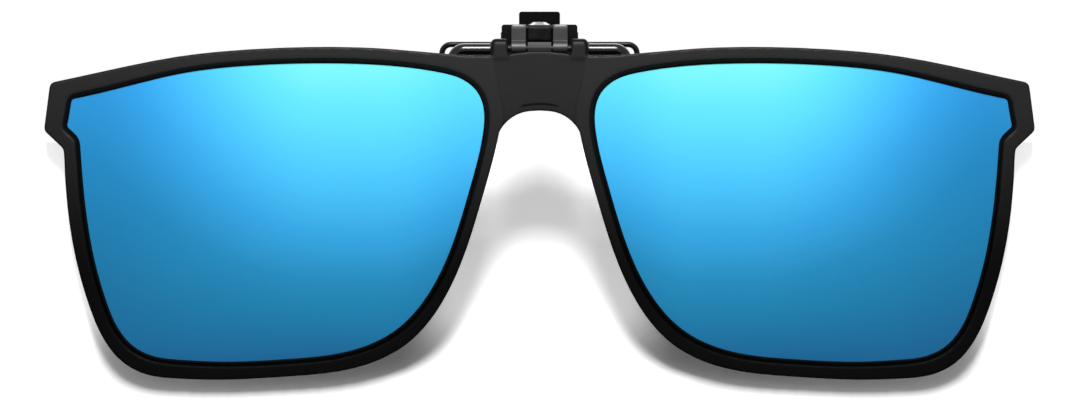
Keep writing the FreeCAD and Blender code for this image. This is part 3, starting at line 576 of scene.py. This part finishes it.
def finish_clip():
    lever = coated_metal("lever_black", grey(0.003), grey(0.01), rough=(0.36, 0.46))
    plate = coated_metal("plate_black", grey(0.004), grey(0.012), rough=(0.34, 0.46))
    blued = (grey(0.004, 1.05), grey(0.012, 1.08))
    spring = coated_metal("spring_blued", *blued, rough=(0.4, 0.5), rounding=0.4 * MM, specular=0.1)
    pin = coated_metal("pin_blackened", grey(0.003), grey(0.01), rough=(0.4, 0.5))
    silver = bright_metal("rivet_silver", grey(0.24), grey(0.4), rough=(0.26, 0.38))
    wire = coated_metal("wire_blackened", grey(0.003), grey(0.01), rough=(0.26, 0.36), specular=0.2)
    cover = black_rubber("claw_dip", rough=(0.12, 0.2), specular=0.3)
    sleeve = black_rubber("sleeve_dip", rough=(0.3, 0.4), specular=0.3)
    grip = black_rubber("grip_rubber", rough=(0.5, 0.6), specular=0.04)

    # Each stamped or machined node, its finish and the width of its softened edges.
    rounded = (
        ("clip_bracket", bracket_coat(), 0.18 * MM),
        ("press_lever", lever, 0.18 * MM),
        ("front_claw_keeper", plate, 0.12 * MM),
        ("rear_claw_keeper", plate, 0.12 * MM),
        ("leaf_rivet", silver, 0.06 * MM),
        ("front_claw_rivets", silver, 0.06 * MM),
        ("rear_claw_rivets", silver, 0.06 * MM),
        ("jaw_pin", pin, 0.05 * MM),
        ("hinge_pin", pin, 0.05 * MM),
        ("detent_cam", cam_finish(), 0.1 * MM),
        ("thumb_grip", grip, 0.2 * MM),
    )
    for node, finish, width in rounded:
        paint(node, finish)
        soften(node, width)
    for node in ("detent_leaf", "torsion_spring"):
        paint(node, spring)
    for side in SIDES:
        paint(f"front_claw_wire_{side}", wire)
        paint(f"rear_claw_loop_{side}", wire)
        paint(f"rear_claw_sleeve_{side}", sleeve)
        paint(f"front_claw_cover_{side}", cover)
        mould(f"front_claw_cover_{side}", grain=0.09 * MM, passes=3)


# --- Stage -------------------------------------------------------------------------------------------------

VIEW_WIDTH = 157.5 * MM  # how wide a stretch of the object's plane the picture shows
VIEW_CENTRE = Vector((0, 0, -17.73 * MM))
CAMERA_DISTANCE = 2.4

PAPER_Y = -5.15 * MM  # how far back the backdrop's middle is, level with the bottom of the lenses
PAPER_TOP = -8 * MM  # above it the camera sees the white world behind the glasses
PAPER_BELOW = 80 * MM  # how far it goes on below the glasses
PAPER_HALF_WIDTH = 150 * MM
# How far it falls away for each bit of height: most near the nose, least at the sides.
LEAN_NOSE, LEAN_SIDE, LEAN_BELOW = 0.84, 0.05, 0.3
NOSE_REACH, SIDE_REACH = 12 * MM, 62 * MM  # where the lean starts to change, and where it has changed

FLOOR_BELOW = 110 * MM
FLOOR_HALF_WIDTH = 0.6

AMBIENT = 0.06  # how much the world lights the object, where 1 is white
MIRRORED = 0.94  # how bright the world is in reflections


def pale_surface(n, albedo, glow):
    """A pale diffuse shader that still shows a shadow, lifted by a glow that lights nothing."""
    rays = n.add("ShaderNodeLightPath").outputs
    seen = n.math("ADD", rays["Is Camera Ray"], rays["Is Glossy Ray"], clamp=True)
    seen = n.math("ADD", seen, rays["Is Transmission Ray"], clamp=True)
    lift = n.add("ShaderNodeEmission")
    lift.inputs["Color"].default_value = (1, 1, 1, 1)
    n.link(n.product(seen, glow), lift.inputs["Strength"])
    matte = n.add("ShaderNodeBsdfDiffuse")
    matte.inputs["Color"].default_value = (*grey(albedo), 1)
    both = n.add("ShaderNodeAddShader")
    n.link(matte.outputs[0], both.inputs[0])
    n.link(lift.outputs[0], both.inputs[1])
    return both


def paper_glow(n):
    """Painted light on the paper: more glow behind the nose and beside the temples, which keeps the shadows
    there faint.
    """
    x, _, z = n.axes()
    across = n.math("ABSOLUTE", x)
    temple_start, temple_end = 60 * MM, 68 * MM
    low_end, raised_start = -42 * MM, -32 * MM
    middle = n.spread(across, 0.45, 0, NOSE_REACH, 1.8 * NOSE_REACH, smooth=True)
    sides = n.spread(across, 0, 0.65, temple_start, temple_end, smooth=True)
    raised = n.spread(z, 0, 1, low_end, raised_start, smooth=True)
    return n.math("ADD", n.product(n.math("ADD", middle, sides), raised), 0.01)


def backdrop_paper():
    """White paper that is seen from the front alone, and that casts no shadow on the glasses."""
    n = material_nodes("backdrop_white")
    shown = pale_surface(n, 0.95, paper_glow(n))
    behind = n.add("ShaderNodeNewGeometry").outputs["Backfacing"]
    shadow = n.add("ShaderNodeLightPath").outputs["Is Shadow Ray"]
    mix = n.add("ShaderNodeMixShader")
    n.link(n.math("MAXIMUM", behind, shadow), mix.inputs["Fac"])
    n.link(shown.outputs[0], mix.inputs[1])
    n.link(n.add("ShaderNodeBsdfTransparent").outputs[0], mix.inputs[2])
    return n.finish(mix)


def add_sheet(name, points, faces, material):
    """A sheet of the stage, which is no part of the object."""
    mesh = bpy.data.meshes.new(name)
    mesh.from_pydata(points, [], faces)
    mesh.materials.append(material)
    mesh.polygons.foreach_set("use_smooth", [True] * len(faces))
    add_object(name, mesh)


def paper_lean(x):
    """How far the backdrop falls away for each bit of height at x, above the bottom of the glasses."""
    share = share_between(abs(x), NOSE_REACH, SIDE_REACH)
    eased = share * share * (3 - 2 * share)
    return LEAN_NOSE + (LEAN_SIDE - LEAN_NOSE) * eased


def make_backdrop(level):
    """Paper close behind the glasses: it touches below, hugs the sides and falls away at the nose."""
    columns, rows = 64, 40
    bottom = level - PAPER_BELOW
    points, faces = [], []
    for row in range(rows + 1):
        z = bottom + (PAPER_TOP - bottom) * row / rows
        for column in range(columns + 1):
            x = PAPER_HALF_WIDTH * (2 * column / columns - 1)
            lean = paper_lean(x) if z > level else LEAN_BELOW
            points.append((x, PAPER_Y + sag(x) + (z - level) * lean, z))
    for row in range(rows):
        for column in range(columns):
            corner = row * (columns + 1) + column
            faces.append((corner, corner + 1, corner + columns + 2, corner + columns + 1))
    add_sheet("backdrop", points, faces, backdrop_paper())


def make_floor(z):
    n = material_nodes("floor_white")
    white = n.finish(pale_surface(n, 0.4, 0.55))
    corners = [(-1, -1), (1, -1), (1, 1), (-1, 1)]
    points = [(u * FLOOR_HALF_WIDTH, v * FLOOR_HALF_WIDTH, z) for u, v in corners]
    add_sheet("floor", points, [(0, 1, 2, 3)], white)


def make_lamp(name, place, target, size, energy):
    """A soft rectangular lamp of a size in metres that faces its target."""
    lamp = bpy.data.lights.new(name, "AREA")
    lamp.shape = "RECTANGLE"
    lamp.size, lamp.size_y = size
    lamp.energy = energy
    holder = add_object(name, lamp)
    holder.location = place
    aim = Vector(target) - Vector(place)
    holder.rotation_euler = aim.to_track_quat("-Z", "Y").to_euler()


def make_world():
    """A world that the camera sees white, that reflections see pale, and that hardly lights the object."""
    world = bpy.data.worlds.new("studio")
    bpy.context.scene.world = world
    n = Nodes(world)
    rays = n.add("ShaderNodeLightPath").outputs
    lit = n.math("MULTIPLY_ADD", rays["Is Glossy Ray"], MIRRORED - AMBIENT, AMBIENT)
    background = n.add("ShaderNodeBackground")
    background.inputs["Color"].default_value = (1, 1, 1, 1)
    n.link(n.math("MAXIMUM", rays["Is Camera Ray"], lit), background.inputs["Strength"])
    n.finish(background, "ShaderNodeOutputWorld")


def make_stage():
    level = cad_box[0].z
    make_backdrop(level)
    make_floor(level - FLOOR_BELOW)
    make_lamp("key", (0, -1.36, 1.46), (0, 0, -0.02), size=(0.4, 0.75), energy=48)
    make_lamp("front", (0, -0.75, 0.35), (0, 0, -0.02), size=(0.4, 0.3), energy=0.35)
    make_lamp("fill_left", (-0.75, -0.6, 0.15), (0, 0, 0), size=(0.3, 0.5), energy=0.35)
    make_lamp("fill_right", (0.75, -0.6, 0.15), (0, 0, 0), size=(0.3, 0.5), energy=0.35)
    make_lamp("back", (0, 0.7, 0.5), (0, 0, 0), size=(0.8, 0.4), energy=3.5)
    make_world()


def make_camera():
    data = bpy.data.cameras.new("camera")
    data.sensor_width = 36
    data.lens = data.sensor_width * CAMERA_DISTANCE / VIEW_WIDTH
    data.clip_start = 0.1
    camera = add_object("camera", data)
    front = cad_box[0].y
    camera.location = VIEW_CENTRE + Vector((0, front - CAMERA_DISTANCE, 0))
    camera.rotation_euler = (math.pi / 2, 0, 0)
    bpy.context.scene.camera = camera


finish_front()
finish_clip()
make_stage()
make_camera()
bpy.context.scene.view_settings.view_transform = "Standard"
